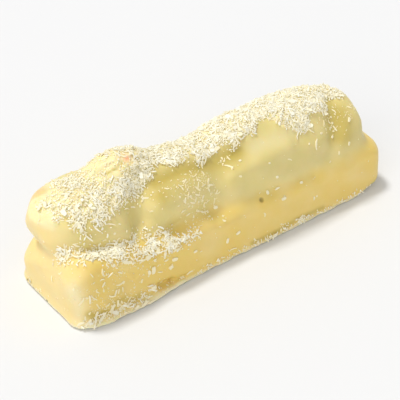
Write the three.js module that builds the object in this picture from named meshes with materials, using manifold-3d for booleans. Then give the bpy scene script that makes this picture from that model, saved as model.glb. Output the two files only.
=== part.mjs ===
// A hand-made coconut bar, in millimetres, +Z up, standing on z = 0 with its length along X.
// A slab lies below and a piped, lumpy roll lies on it, both under one skin of white coating.
// Shreds of desiccated coconut are stuck into the skin, thickest along the top of the roll.
import * as THREE from 'three';
import { MeshSurfaceSampler } from 'three/addons/math/MeshSurfaceSampler.js';
import { mergeVertices } from 'three/addons/utils/BufferGeometryUtils.js';
import Module from 'manifold-3d';

// Slab: the foot is the longest and widest part of the bar.
const LENGTH = 116;
const WIDTH = 34.4;
const FOOT_FLARE = 0.8;
const FOOT_HEIGHT = 4;
const FOOT_ROUNDING = 1.2;
const RIGHT_FOOT_ROUNDING = 5;
const SIDE_DRAFT = 0.8;
const LEFT_END_BULGE = 1.2;
const CORNER_RADIUS = 5.5;
const BACK_CORNER_RADIUS = 7.5;
const TOP_EDGE_RADIUS = 4;
const LEFT_EDGE_RADIUS = 7;
// Height of the slab's top along its length, as [x, height], and the fall of its back left corner.
const SLAB_TOP = [[-58, 21], [-44, 19], [-30, 15.8], [-8, 16.2], [40, 15.7], [58, 15.7]];
const BACK_CORNER_FALL = 7;

// Skirt: a thin lip of coat that has spread on the table at the front left, and the stretches over
// which it begins along x, from the table up and across y.
const SKIRT_REACH = 1.5;
const SKIRT_LEFT = [-56, -47];
const SKIRT_RIGHT = [-20, -36];
const SKIRT_RISE = [2.6, 1];
const SKIRT_ACROSS = [-10, -14];

// Stretches along x and across y over which the slab's form changes, from none to full.
const FALL_ALONG = [-20, -58];
const FALL_ACROSS = [-8, 16];
const LEFT_CORNER_ALONG = [-35, -55];
const RIGHT_CORNER_ALONG = [40, 50];
const BACK_CORNER_ACROSS = [-4, 8];
const LEFT_EDGE_ALONG = [-50, -58];
const LEFT_BULGE_ALONG = [-40, -52];
const RIGHT_FOOT_ALONG = [42, 54];
const CREASE_ALONG = [-30, 15];

// Roll: lumps left by the piping, from left to right, as centre, radii and squareness.
const LUMPS = [
  { centre: [-42.6, 3, 22.8], radii: [15.3, 13.3, 9.4], squareness: 2.4 },
  { centre: [-38, -1.5, 20.5], radii: [9, 9.2, 5.5], squareness: 2 },
  { centre: [-30.6, 3, 27.5], radii: [11, 8.2, 9.2], squareness: 2 },
  { centre: [-18, 0.6, 21.2], radii: [18.2, 12.4, 10.7], squareness: 2.6 },
  { centre: [19.5, -0.9, 21.3], radii: [28.8, 13.5, 12.9], squareness: 3 },
  { centre: [40.8, -1.7, 19.4], radii: [10.3, 12.1, 11.4], squareness: 3.4 },
];
const LUMP_BLEND = 2.6;
const CREASE_BLEND_LEFT = 2.6;
const CREASE_BLEND_RIGHT = 6.5;

// Ridges (height above 0) and furrows (below 0) in the skin, each along a line of points.
const STROKES = [
  { line: [[-28.5, -4, 32], [-30.5, -8.5, 26], [-33, -9.5, 21]], width: 3.2, height: -1.7 },
  {
    line: [[-24, -6, 29.3], [-15, -5.9, 29.6], [-5.7, -6.7, 28.2], [3, -7.8, 29.4]],
    width: 2.4,
    height: -0.8,
  },
  { line: [[10.4, -8.4, 32.5], [15.5, -6.8, 33.4]], width: 2.4, height: -0.8 },
  { line: [[-3, -11.5, 28.5], [28, -12.6, 29.6], [34, -12, 29.5]], width: 5.5, height: -2 },
  { line: [[-0.8, -11.8, 25.5], [4.4, -12.2, 26.5], [18.8, -12.2, 27.6]], width: 3, height: 1.1 },
  { line: [[3.5, -14.1, 22.1], [18.3, -14.8, 23.1], [34.9, -14.6, 20.4]], width: 2.6, height: -0.5 },
  { line: [[-8.9, -13.5, 15.7], [5.4, -14.3, 16.4], [26.2, -15.5, 15.4]], width: 2.4, height: -0.6 },
  { line: [[41, -5.5, 31.5], [39.5, -8.4, 29.3], [37, -12.5, 23.5]], width: 3, height: -1.8 },
  { line: [[44, -9, 28], [45, -11, 25]], width: 2.6, height: -0.5 },
  { line: [[-32, -10.2, 18], [-27, -10.8, 17.5]], width: 3, height: 1.2 },
  { line: [[-27.3, -10, 25], [-20.9, -10.6, 25.8], [-10.1, -10.5, 25.8]], width: 3, height: 0.3 },
  { line: [[-37.9, 1.2, 34.5], [-34.8, 0.8, 36.1], [-31.2, -0.3, 36.4]], width: 1.4, height: -0.7 },
];
// Slow waves in the skin, which rise over this much height above the foot.
const WAVE_HEIGHT = 0.25;
const WAVE_RISE = [4, 10];

// Coconut cover: its front edge along the roll, as [x, y], its back edge and its thickness.
const COVER_FRONT = [
  [-52, -4], [-44, -7.5], [-38, -7], [-31, -4.6], [-25, -4], [-16, -3.2], [-8, -4.2], [0, -4.9],
  [10, -6], [14.3, -4.2], [17.5, -3.2], [20, -7.6], [25, -9.4], [30, -9], [37, -6.4], [46, -3.2],
];
const COVER_BACK = 9;
const COVER_LOWEST = 25;
const COVER_THICKNESS = 0.6;
const COVER_ROUGHNESS = 0.5;
const COVER_END = 47;
const EDGE_SOFTNESS = 2.2;

// Coconut shreds.
const SHRED_COUNT = 170;
const SHRED_SPACING = 2.2;
const SHRED_LENGTHS = [1.8, 4];
const SHRED_WIDTHS = [0.6, 1];
const SHRED_THICKNESS = 0.5;
const SHRED_BEND = 0.35;
const SHRED_TAPER = 0.6;
const SHRED_TILT = 0.35;
const SHRED_LIFT = 0.12;
const TABLE_GAP = 0.3;
const RANDOM_SEED = 41;

// How thickly shreds lie away from the cover, and the stretches over which they begin.
const LEDGE_DENSITY = 0.8;
const LEDGE_ALONG = [-2, -14];
const LEDGE_ACROSS = [-4, -6];
const LEDGE_BOTTOM = [14, 17];
const LEDGE_TOP = [24, 21];
const FRONT_DENSITY = 0.22;
const FRONT_ALONG = [-15, -35];
const FRONT_ACROSS = [-12, -14];
const FRONT_TOP = [16, 13];
const FOOT_DENSITY = 0.25;
const FOOT_TOP = [4, 3];
const SPARSE_DENSITY = 0.02;

// Surface mesh: rays leave a spine inside the bar, and at each end turn from its side to its tip.
const SPINE_END = 44;
const SPINE_HEIGHT = 12;
const ROWS_ALONG = 26;
const ROWS_AT_END = 9;
const RAYS_AROUND = 40;
const END_SQUARENESS = 0.6;
const BEND_SHARE = 14;
const RING_SECTIONS = [-42, -20, 20];
const RING_SAMPLES = 360;
const STEP_LENGTH = 0.5;
const HALVINGS = 14;
const MERGE_REACH = 1e-5;

function smoothStep(value) {
  const t = THREE.MathUtils.clamp(value, 0, 1);
  return t * t * (3 - 2 * t);
}

function blend(from, to, share) {
  return from + (to - from) * share;
}

// How far a value has passed along a stretch, from 0 at its start to 1 at its end.
function passed([start, end], value) {
  return smoothStep((value - start) / (end - start));
}

function curveAt(points, x) {
  let index = 0;
  while (index < points.length - 2 && x > points[index + 1][0]) {
    index += 1;
  }
  const [startX, startValue] = points[index];
  const [endX, endValue] = points[index + 1];
  return blend(startValue, endValue, smoothStep((x - startX) / (endX - startX)));
}

function softUnion(first, second, width) {
  const share = THREE.MathUtils.clamp(0.5 + (0.5 * (second - first)) / width, 0, 1);
  return blend(second, first, share) - width * share * (1 - share);
}

// Distance to a square corner rounded by radius, from the distances to its two sides.
function roundedCorner(first, second, radius) {
  const a = first + radius;
  const b = second + radius;
  return Math.min(Math.max(a, b), 0) + Math.hypot(Math.max(a, 0), Math.max(b, 0)) - radius;
}

function slabTop(x, y) {
  const fall = passed(FALL_ACROSS, y) * passed(FALL_ALONG, x);
  return curveAt(SLAB_TOP, x) - BACK_CORNER_FALL * fall;
}

function skirtReach({ x, y, z }) {
  const along = passed(SKIRT_LEFT, x) * passed(SKIRT_RIGHT, x);
  return SKIRT_REACH * along * passed(SKIRT_ACROSS, y) * passed(SKIRT_RISE, z);
}

function slabDistance({ x, y, z }) {
  const top = slabTop(x, y);
  const rise = THREE.MathUtils.clamp(z / top, 0, 1);
  const above = THREE.MathUtils.clamp((z - FOOT_ROUNDING) / FOOT_HEIGHT, 0, 1);
  const inset = SIDE_DRAFT * rise + FOOT_FLARE * (1 - (1 - above) ** 2);
  const bulge = LEFT_END_BULGE * passed(LEFT_BULGE_ALONG, x) * Math.sin(Math.PI * rise);
  const atEnds = Math.max(passed(LEFT_CORNER_ALONG, x), passed(RIGHT_CORNER_ALONG, x));
  const corner = blend(CORNER_RADIUS, BACK_CORNER_RADIUS, atEnds * passed(BACK_CORNER_ACROSS, y));
  const alongGap = Math.abs(x) - (LENGTH / 2 - inset + bulge);
  const reach = WIDTH / 2 - inset + skirtReach({ x, y, z });
  const sides = roundedCorner(alongGap, Math.abs(y) - reach, corner);
  const edge = blend(TOP_EDGE_RADIUS, LEFT_EDGE_RADIUS, passed(LEFT_EDGE_ALONG, x));
  const foot = blend(FOOT_ROUNDING, RIGHT_FOOT_ROUNDING, passed(RIGHT_FOOT_ALONG, x));
  return Math.max(roundedCorner(sides, z - top, edge), roundedCorner(sides, -z, foot));
}

function lumpDistance(point, lump) {
  const [cx, cy, cz] = lump.centre;
  const [rx, ry, rz] = lump.radii;
  const along = Math.abs((point.x - cx) / rx);
  const across = Math.hypot((point.y - cy) / ry, (point.z - cz) / rz);
  const reach = (along ** lump.squareness + across ** lump.squareness) ** (1 / lump.squareness);
  return (reach - 1) * Math.min(ry, rz);
}

function rollDistance(point) {
  const distances = LUMPS.map((lump) => lumpDistance(point, lump));
  return distances.reduce((sum, distance) => softUnion(sum, distance, LUMP_BLEND));
}

function strokeHeight(point, stroke) {
  const nearest = new THREE.Vector3();
  let distance = Infinity;
  for (let index = 0; index < stroke.line.length - 1; index += 1) {
    const start = new THREE.Vector3(...stroke.line[index]);
    const end = new THREE.Vector3(...stroke.line[index + 1]);
    new THREE.Line3(start, end).closestPointToPoint(point, true, nearest);
    distance = Math.min(distance, nearest.distanceTo(point));
  }
  return stroke.height * Math.exp(-((distance / stroke.width) ** 2));
}

// How much of the coconut cover lies at a point: 1 on the top of the roll, 0 below its edges.
function coverShare({ x, y, z }) {
  const front = smoothStep((y - curveAt(COVER_FRONT, x)) / EDGE_SOFTNESS + 0.5);
  const back = smoothStep((COVER_BACK - y) / EDGE_SOFTNESS + 0.5);
  const end = smoothStep((COVER_END - x) / EDGE_SOFTNESS + 0.5);
  return front * back * end * smoothStep((z - COVER_LOWEST) / EDGE_SOFTNESS);
}

function coverHeight(point) {
  const { x, y } = point;
  const rough = Math.sin(1.9 * x + 0.8 * y) * Math.sin(1.4 * y - 0.9 * x);
  return coverShare(point) * (COVER_THICKNESS + COVER_ROUGHNESS * rough);
}

// None at the foot, so that the bar's length and width stay true.
function waveHeight({ x, y, z }) {
  const waves = Math.sin(0.31 * x + 0.5 * z) * Math.sin(0.4 * y + 0.11 * x);
  return WAVE_HEIGHT * passed(WAVE_RISE, z) * waves;
}

function barDistance(point) {
  const creaseBlend = blend(CREASE_BLEND_LEFT, CREASE_BLEND_RIGHT, passed(CREASE_ALONG, point.x));
  const body = softUnion(slabDistance(point), rollDistance(point), creaseBlend);
  const strokes = STROKES.reduce((sum, stroke) => sum + strokeHeight(point, stroke), 0);
  return body - strokes - coverHeight(point) - waveHeight(point);
}

// The point where a ray from inside the bar leaves it.
function castOut(origin, direction) {
  const point = new THREE.Vector3();
  let inside = 0;
  let outside = STEP_LENGTH;
  while (barDistance(point.copy(origin).addScaledVector(direction, outside)) < 0) {
    inside = outside;
    outside += STEP_LENGTH;
  }
  for (let halving = 0; halving < HALVINGS; halving += 1) {
    const middle = (inside + outside) / 2;
    if (barDistance(point.copy(origin).addScaledVector(direction, middle)) < 0) {
      inside = middle;
    } else {
      outside = middle;
    }
  }
  return point.copy(origin).addScaledVector(direction, inside);
}

// How fast the section at x is passed in each small turn round the spine: its length and its bends.
function sectionPace(x) {
  const origin = new THREE.Vector3(x, 0, SPINE_HEIGHT);
  const section = Array.from({ length: RING_SAMPLES }, (_, index) => {
    const angle = (2 * Math.PI * index) / RING_SAMPLES;
    return castOut(origin, new THREE.Vector3(0, Math.cos(angle), Math.sin(angle)));
  });
  return section.map((here, index) => {
    const before = section[(index + RING_SAMPLES - 1) % RING_SAMPLES];
    const after = section[(index + 1) % RING_SAMPLES];
    const bend = here.clone().sub(before).angleTo(after.clone().sub(here));
    return here.distanceTo(after) + BEND_SHARE * bend;
  });
}

// Turns the nearest angle on each side to the widest place of the foot.
function turnToFoot(angles) {
  const drop = Math.atan2(SPINE_HEIGHT - FOOT_ROUNDING, WIDTH / 2);
  for (const wanted of [Math.PI + drop, 2 * Math.PI - drop]) {
    const gaps = angles.map((angle) => Math.abs(angle - wanted));
    angles[gaps.indexOf(Math.min(...gaps))] = wanted;
  }
  return angles;
}

// Angles round the spine, closer together where the bar's sections are long or bend.
function ringAngles() {
  const paces = RING_SECTIONS.map(sectionPace);
  const progress = [0];
  for (let index = 0; index < RING_SAMPLES; index += 1) {
    progress.push(progress[index] + paces.reduce((sum, pace) => sum + pace[index], 0));
  }
  const angles = Array.from({ length: RAYS_AROUND }, (_, ray) => {
    const wanted = (progress[RING_SAMPLES] * ray) / RAYS_AROUND;
    const index = progress.findIndex((value) => value > wanted) - 1;
    const share = (wanted - progress[index]) / (progress[index + 1] - progress[index]);
    return (2 * Math.PI * (index + share)) / RING_SAMPLES;
  });
  return turnToFoot(angles);
}

// A row of points along the bar, where the spine is at x.
function sideRow(x, angles) {
  const origin = new THREE.Vector3(x, 0, SPINE_HEIGHT);
  return angles.map((angle) => castOut(origin, new THREE.Vector3(0, Math.cos(angle), Math.sin(angle))));
}

// A row of points on an end, cast from the spine's end towards a squarish ring inside the bar.
function endRow(side, turn, ring) {
  const origin = new THREE.Vector3(side * SPINE_END, 0, SPINE_HEIGHT);
  const outward = side * (LENGTH / 2 - SPINE_END) * Math.sin(turn) ** END_SQUARENESS;
  const spread = Math.cos(turn) ** END_SQUARENESS;
  return ring.map((point) => {
    const ray = point.clone().sub(origin).multiplyScalar(spread);
    return castOut(origin, ray.setX(outward).normalize());
  });
}

// All rows of points from the left tip to the right tip, the tips left out.
function surfaceRows() {
  const angles = ringAngles();
  const middle = Array.from({ length: ROWS_ALONG + 1 }, (_, step) => {
    return sideRow(blend(-SPINE_END, SPINE_END, step / ROWS_ALONG), angles);
  });
  const turns = Array.from({ length: ROWS_AT_END - 1 }, (_, step) => {
    return (Math.PI / 2) * ((step + 1) / ROWS_AT_END);
  });
  const left = turns.map((turn) => endRow(-1, turn, middle[0])).reverse();
  const right = turns.map((turn) => endRow(1, turn, middle[ROWS_ALONG]));
  return [...left, ...middle, ...right];
}

function tipPoint(side) {
  return castOut(new THREE.Vector3(side * SPINE_END, 0, SPINE_HEIGHT), new THREE.Vector3(side, 0, 0));
}

function coatGeometry() {
  const rows = surfaceRows();
  const points = [...rows.flat(), tipPoint(-1), tipPoint(1)];
  const rightTip = points.length - 1;
  const leftTip = rightTip - 1;
  const lastRow = leftTip - RAYS_AROUND;
  const faces = [];
  for (let ray = 0; ray < RAYS_AROUND; ray += 1) {
    const next = (ray + 1) % RAYS_AROUND;
    faces.push(leftTip, next, ray);
    for (let here = 0; here < lastRow; here += RAYS_AROUND) {
      const there = here + RAYS_AROUND;
      faces.push(here + ray, here + next, there + ray);
      faces.push(here + next, there + next, there + ray);
    }
    faces.push(lastRow + ray, lastRow + next, rightTip);
  }
  const geometry = new THREE.BufferGeometry().setFromPoints(points);
  geometry.setIndex(faces);
  geometry.computeVertexNormals();
  return geometry;
}

// A small seeded generator of numbers from 0 to 1.
function randomNumbers(seed) {
  let state = seed;
  return () => {
    state = (state + 0x6d2b79f5) | 0;
    let mixed = Math.imul(state ^ (state >>> 15), 1 | state);
    mixed = (mixed + Math.imul(mixed ^ (mixed >>> 7), 61 | mixed)) ^ mixed;
    return ((mixed ^ (mixed >>> 14)) >>> 0) / 4294967296;
  };
}

// Shreds lie thickest on the cover, thinner on the ledge at the left and thinnest on the slab's front.
function shredDensity(point) {
  const { x, y, z } = point;
  const ledgeHeight = passed(LEDGE_BOTTOM, z) * passed(LEDGE_TOP, z);
  const onLedge = passed(LEDGE_ALONG, x) * passed(LEDGE_ACROSS, y) * ledgeHeight;
  const onFront = passed(FRONT_ALONG, x) * passed(FRONT_ACROSS, y) * passed(FRONT_TOP, z);
  const onFoot = passed(FRONT_ACROSS, y) * passed(FOOT_TOP, z);
  const loose = LEDGE_DENSITY * onLedge + FRONT_DENSITY * onFront + FOOT_DENSITY * onFoot;
  return coverShare(point) + loose + SPARSE_DENSITY;
}

function shredGeometry(random) {
  const length = blend(...SHRED_LENGTHS, random() ** 2);
  const width = blend(...SHRED_WIDTHS, random());
  const bend = SHRED_BEND * (random() - 0.5) * length;
  const geometry = new THREE.BoxGeometry(length, width, SHRED_THICKNESS, 2, 1, 1);
  const position = geometry.getAttribute('position');
  for (let index = 0; index < position.count; index += 1) {
    const reach = Math.abs(position.getX(index)) / (length / 2);
    position.setY(index, position.getY(index) * blend(1, SHRED_TAPER, reach) + bend * (1 - reach));
  }
  return geometry;
}

// Places one shred on the skin, turned any way in it and tilted a little out of it.
function layShred(point, normal, random) {
  const turn = new THREE.Quaternion().setFromUnitVectors(new THREE.Vector3(0, 0, 1), normal);
  const tilts = [SHRED_TILT * (random() - 0.5), SHRED_TILT * (random() - 0.5)];
  const lie = new THREE.Euler(...tilts, 2 * Math.PI * random());
  turn.multiply(new THREE.Quaternion().setFromEuler(lie));
  const place = point.clone().addScaledVector(normal, SHRED_LIFT);
  const matrix = new THREE.Matrix4().compose(place, turn, new THREE.Vector3(1, 1, 1));
  return shredGeometry(random).applyMatrix4(matrix);
}

// A shred stays inside the slab's foot, seen from above, and off the table.
function staysInside(geometry) {
  geometry.computeBoundingBox();
  const { min, max } = geometry.boundingBox;
  const insideLength = Math.max(-min.x, max.x) < LENGTH / 2;
  const insideWidth = Math.max(-min.y, max.y) < WIDTH / 2;
  return insideLength && insideWidth && min.z > TABLE_GAP;
}

function scatterShreds(coat) {
  const random = randomNumbers(RANDOM_SEED);
  const weighted = coat.clone();
  const position = weighted.getAttribute('position');
  const weights = Array.from({ length: position.count }, (_, index) => {
    return shredDensity(new THREE.Vector3().fromBufferAttribute(position, index));
  });
  weighted.setAttribute('density', new THREE.Float32BufferAttribute(weights, 1));
  const sampler = new MeshSurfaceSampler(new THREE.Mesh(weighted));
  sampler.setWeightAttribute('density').setRandomGenerator(random).build();
  const places = [];
  const shreds = [];
  while (shreds.length < SHRED_COUNT) {
    const point = new THREE.Vector3();
    const normal = new THREE.Vector3();
    sampler.sample(point, normal);
    const shred = layShred(point, normal, random);
    const clear = places.every((place) => place.distanceTo(point) > SHRED_SPACING);
    if (clear && staysInside(shred)) {
      places.push(point);
      shreds.push(shred);
    }
  }
  return shreds;
}

const wasm = await Module();
wasm.setup();

function toSolid(geometry) {
  const bare = geometry.clone();
  bare.deleteAttribute('normal');
  bare.deleteAttribute('uv');
  const merged = mergeVertices(bare, MERGE_REACH);
  return new wasm.Manifold(new wasm.Mesh({
    numProp: 3,
    vertProperties: new Float32Array(merged.getAttribute('position').array),
    triVerts: new Uint32Array(merged.getIndex().array),
  }));
}

// For each corner of the mesh, the first corner of the connected shell that it belongs to.
function shellRoots(triangles, count) {
  const parent = Array.from({ length: count }, (_, corner) => corner);
  const rootOf = (corner) => {
    let root = corner;
    while (parent[root] !== root) {
      parent[root] = parent[parent[root]];
      root = parent[root];
    }
    return root;
  };
  for (let index = 0; index < triangles.length; index += 3) {
    const root = rootOf(triangles[index]);
    parent[rootOf(triangles[index + 1])] = root;
    parent[rootOf(triangles[index + 2])] = root;
  }
  return parent.map((_, corner) => rootOf(corner));
}

// The outer shell alone: small hollows sealed between shreds are filled and loose scraps dropped.
function outerShell(triangles, count) {
  const roots = shellRoots(triangles, count);
  const sizes = new Map();
  for (const corner of triangles) {
    sizes.set(roots[corner], (sizes.get(roots[corner]) ?? 0) + 1);
  }
  const [largest] = [...sizes].reduce((best, entry) => (entry[1] > best[1] ? entry : best));
  const kept = [];
  for (let index = 0; index < triangles.length; index += 3) {
    if (roots[triangles[index]] === largest) {
      kept.push(...triangles.slice(index, index + 3));
    }
  }
  return kept;
}

function toGeometry(solid) {
  const mesh = solid.getMesh();
  const geometry = new THREE.BufferGeometry();
  geometry.setAttribute('position', new THREE.BufferAttribute(mesh.vertProperties, 3));
  geometry.setIndex(outerShell(mesh.triVerts, mesh.vertProperties.length / 3));
  geometry.computeVertexNormals();
  return geometry;
}

function buildBar() {
  const coat = coatGeometry();
  const shreds = scatterShreds(coat);
  const solid = shreds.reduce((sum, shred) => sum.add(toSolid(shred)), toSolid(coat));
  const geometry = toGeometry(solid);
  geometry.computeBoundingBox();
  const middle = geometry.boundingBox.getCenter(new THREE.Vector3());
  geometry.translate(-middle.x, -middle.y, -geometry.boundingBox.min.z);
  const coating = new THREE.MeshStandardMaterial({ color: 0xf3e3a4, roughness: 0.45, metalness: 0 });
  const bar = new THREE.Mesh(geometry, coating);
  bar.name = 'coconut_bar';
  return bar;
}

const group = new THREE.Group();
group.add(buildBar());

export default group;
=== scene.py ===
import math

import bpy
import numpy as np
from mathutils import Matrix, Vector


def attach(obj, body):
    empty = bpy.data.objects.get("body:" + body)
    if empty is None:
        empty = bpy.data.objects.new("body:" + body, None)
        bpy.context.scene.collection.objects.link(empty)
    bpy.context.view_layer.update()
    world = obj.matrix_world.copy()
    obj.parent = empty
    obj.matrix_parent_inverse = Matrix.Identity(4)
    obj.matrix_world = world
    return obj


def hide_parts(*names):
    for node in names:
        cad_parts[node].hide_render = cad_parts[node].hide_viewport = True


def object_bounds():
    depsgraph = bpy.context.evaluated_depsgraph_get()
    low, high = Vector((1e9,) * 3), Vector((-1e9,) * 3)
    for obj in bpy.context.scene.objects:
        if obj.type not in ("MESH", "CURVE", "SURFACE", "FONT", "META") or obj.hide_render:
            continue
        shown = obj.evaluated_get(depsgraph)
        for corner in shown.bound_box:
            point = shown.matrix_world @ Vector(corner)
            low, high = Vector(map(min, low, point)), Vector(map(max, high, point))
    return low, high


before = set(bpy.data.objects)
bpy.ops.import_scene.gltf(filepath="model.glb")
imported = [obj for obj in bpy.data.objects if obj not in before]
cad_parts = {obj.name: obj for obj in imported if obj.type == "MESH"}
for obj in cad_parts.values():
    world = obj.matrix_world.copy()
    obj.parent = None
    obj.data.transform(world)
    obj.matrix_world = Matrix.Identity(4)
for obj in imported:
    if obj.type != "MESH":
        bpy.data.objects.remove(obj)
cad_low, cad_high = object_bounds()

# The skin of white coating: one unbroken coat poured over a slab and over the lumpy roll piped on it,
# of white chocolate set to a satin finish. It is made by casting rays out of a spine inside the bar,
# to where the blend of slab, lumps, ridges and furrows ends. All its sizes are in millimetres.
MM = 0.001
LENGTH = 116.0
WIDTH = 34.4
FOOT_FLARE = 0.8
FOOT_HEIGHT = 4.0
FOOT_ROUNDING = 1.2
RIGHT_FOOT_ROUNDING = 5.0
SIDE_DRAFT = 0.8
LEFT_END_BULGE = 1.2
CORNER_RADIUS = 5.5
BACK_CORNER_RADIUS = 7.5
TOP_EDGE_RADIUS = 4.0
LEFT_EDGE_RADIUS = 7.0
SLAB_TOP = [(-58, 21), (-44, 19), (-30, 15.8), (-8, 16.2), (40, 15.7), (58, 15.7)]
BACK_CORNER_FALL = 7.0

# A thin lip of coat that has spread on the table at the front left, and where it begins.
SKIRT_REACH = 1.5
SKIRT_LEFT = (-56, -47)
SKIRT_RIGHT = (-20, -36)
SKIRT_RISE = (2.6, 1)
SKIRT_ACROSS = (-10, -14)

# Stretches along x and across y over which the slab's form changes, from none to full.
FALL_ALONG = (-20, -58)
FALL_ACROSS = (-8, 16)
LEFT_CORNER_ALONG = (-35, -55)
RIGHT_CORNER_ALONG = (40, 50)
BACK_CORNER_ACROSS = (-4, 8)
LEFT_EDGE_ALONG = (-50, -58)
LEFT_BULGE_ALONG = (-40, -52)
RIGHT_FOOT_ALONG = (42, 54)
CREASE_ALONG = (-30, 15)

# The lumps of the roll, each a ball drawn out and made squarer, and how softly they run into one another
# and, over the crease's stretch, into the slab.
LUMPS = [
    dict(centre=(-42.6, 3, 22.8), radii=(15.3, 13.3, 9.4), squareness=2.4),
    dict(centre=(-38, -1.5, 20.5), radii=(9, 9.2, 5.5), squareness=2),
    dict(centre=(-30.6, 3, 27.5), radii=(11, 8.2, 9.2), squareness=2),
    dict(centre=(-18, 0.6, 21.2), radii=(18.2, 12.4, 10.7), squareness=2.6),
    dict(centre=(19.5, -0.9, 21.3), radii=(28.8, 13.5, 12.9), squareness=3),
    dict(centre=(40.8, -1.7, 19.4), radii=(10.3, 12.1, 11.4), squareness=3.4),
]
LUMP_BLEND = 2.6
CREASE_BLENDS = (2.6, 6.5)

# Ridges (height above 0) and furrows (below 0), each along a line of points.
FURROW = [(-24, -6, 29.3), (-15, -5.9, 29.6), (-5.7, -6.7, 28.2), (3, -7.8, 29.4)]
RIGHT_FURROW = [(41, -5.5, 31.5), (39.5, -8.4, 29.3), (37, -12.5, 23.5)]
STROKES = [
    dict(line=[(-28.5, -4, 32), (-30.5, -8.5, 26), (-33, -9.5, 21)], width=3.2, height=-1.7),
    dict(line=FURROW, width=2.4, height=-0.8),
    dict(line=[(10.4, -8.4, 32.5), (15.5, -6.8, 33.4)], width=2.4, height=-0.8),
    dict(line=[(-3, -11.5, 28.5), (28, -12.6, 29.6), (34, -12, 29.5)], width=5.5, height=-2.0),
    dict(line=[(-0.8, -11.8, 25.5), (4.4, -12.2, 26.5), (18.8, -12.2, 27.6)], width=3, height=1.1),
    dict(line=[(3.5, -14.1, 22.1), (18.3, -14.8, 23.1), (34.9, -14.6, 20.4)], width=2.6, height=-0.5),
    dict(line=[(-8.9, -13.5, 15.7), (5.4, -14.3, 16.4), (26.2, -15.5, 15.4)], width=2.4, height=-0.6),
    dict(line=RIGHT_FURROW, width=3, height=-1.8),
    dict(line=[(44, -9, 28), (45, -11, 25)], width=2.6, height=-0.5),
    dict(line=[(-32, -10.2, 18), (-27, -10.8, 17.5)], width=3, height=1.2),
    dict(line=[(-27.3, -10, 25), (-20.9, -10.6, 25.8), (-10.1, -10.5, 25.8)], width=3, height=0.3),
    dict(line=[(-37.9, 1.2, 34.5), (-34.8, 0.8, 36.1), (-31.2, -0.3, 36.4)], width=1.4, height=-0.7),
]
# Slow waves all over, which begin above the foot. Their turns are in radians for each millimetre.
WAVE_HEIGHT = 0.25
WAVE_RISE = (4, 10)
WAVE_TURNS_XZ = (0.31, 0.5)
WAVE_TURNS_YX = (0.4, 0.11)

# How the skin is meshed: rows of points along the spine and over its two ends, and rays round it.
SPINE_END = 44.0
SPINE_HEIGHT = 12.0
ROWS_ALONG = 220
ROWS_AT_END = 38
RAYS_AROUND = 290
RING_SAMPLES = 720
END_SQUARENESS = 0.6
BEND_SHARE = 14.0
BEND_REACH = 4
BEND_DIVISOR = 36
UNDERSIDE = 0.01
UNDERSIDE_PACE = 0.3
RING_SECTIONS = (-42.0, -20.0, 20.0)
FIRST_STEP = 3.0
STEP_SHARE = 0.6
STEP_RANGE = (0.25, 4.0)
HALVINGS = 12

# A ripple is a sum of waves in seeded directions. Slopes are measured over a short step.
RIPPLE_WAVES = 8
RIPPLE_DIVISOR = 3
FACING_STEP = 0.1


def smooth_step(value):
    t = np.clip(value, 0, 1)
    return t * t * (3 - 2 * t)


def passed(stretch, value):
    """How far a value has passed along a stretch, from 0 at its start to 1 at its end."""
    start, end = stretch
    return smooth_step((value - start) / (end - start))


def blend(first, second, share):
    return first + (second - first) * share


def curve_at(points, x):
    places, values = np.array(points, float).T
    index = np.clip(np.searchsorted(places, x, side="right") - 1, 0, len(places) - 2)
    share = smooth_step((x - places[index]) / (places[index + 1] - places[index]))
    return blend(values[index], values[index + 1], share)


def soft_union(first, second, width):
    share = np.clip(0.5 + 0.5 * (second - first) / width, 0, 1)
    return blend(second, first, share) - width * share * (1 - share)


def rounded_corner(first, second, radius):
    """Distance to a square corner rounded by radius, from the distances to its two sides."""
    a = first + radius
    b = second + radius
    return np.minimum(np.maximum(a, b), 0) + np.hypot(np.maximum(a, 0), np.maximum(b, 0)) - radius


def skirt_reach(x, y, z):
    along = passed(SKIRT_LEFT, x) * passed(SKIRT_RIGHT, x)
    return SKIRT_REACH * along * passed(SKIRT_ACROSS, y) * passed(SKIRT_RISE, z)


def slab_distance(x, y, z):
    top = curve_at(SLAB_TOP, x) - BACK_CORNER_FALL * passed(FALL_ACROSS, y) * passed(FALL_ALONG, x)
    rise = np.clip(z / top, 0, 1)
    above = np.clip((z - FOOT_ROUNDING) / FOOT_HEIGHT, 0, 1)
    inset = SIDE_DRAFT * rise + FOOT_FLARE * (1 - (1 - above) ** 2)
    bulge = LEFT_END_BULGE * passed(LEFT_BULGE_ALONG, x) * np.sin(math.pi * rise)
    at_ends = np.maximum(passed(LEFT_CORNER_ALONG, x), passed(RIGHT_CORNER_ALONG, x))
    corner = blend(CORNER_RADIUS, BACK_CORNER_RADIUS, at_ends * passed(BACK_CORNER_ACROSS, y))
    along_gap = np.abs(x) - (LENGTH / 2 - inset + bulge)
    reach = WIDTH / 2 - inset + skirt_reach(x, y, z)
    sides = rounded_corner(along_gap, np.abs(y) - reach, corner)
    edge = blend(TOP_EDGE_RADIUS, LEFT_EDGE_RADIUS, passed(LEFT_EDGE_ALONG, x))
    foot = blend(FOOT_ROUNDING, RIGHT_FOOT_ROUNDING, passed(RIGHT_FOOT_ALONG, x))
    return np.maximum(rounded_corner(sides, z - top, edge), rounded_corner(sides, -z, foot))


def lump_distance(x, y, z, lump):
    (cx, cy, cz), (rx, ry, rz), squareness = lump["centre"], lump["radii"], lump["squareness"]
    along = np.abs((x - cx) / rx)
    across = np.hypot((y - cy) / ry, (z - cz) / rz)
    reach = (along**squareness + across**squareness) ** (1 / squareness)
    return (reach - 1) * min(ry, rz)


def roll_distance(x, y, z):
    distance = lump_distance(x, y, z, LUMPS[0])
    for lump in LUMPS[1:]:
        distance = soft_union(distance, lump_distance(x, y, z, lump), LUMP_BLEND)
    return distance


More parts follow.
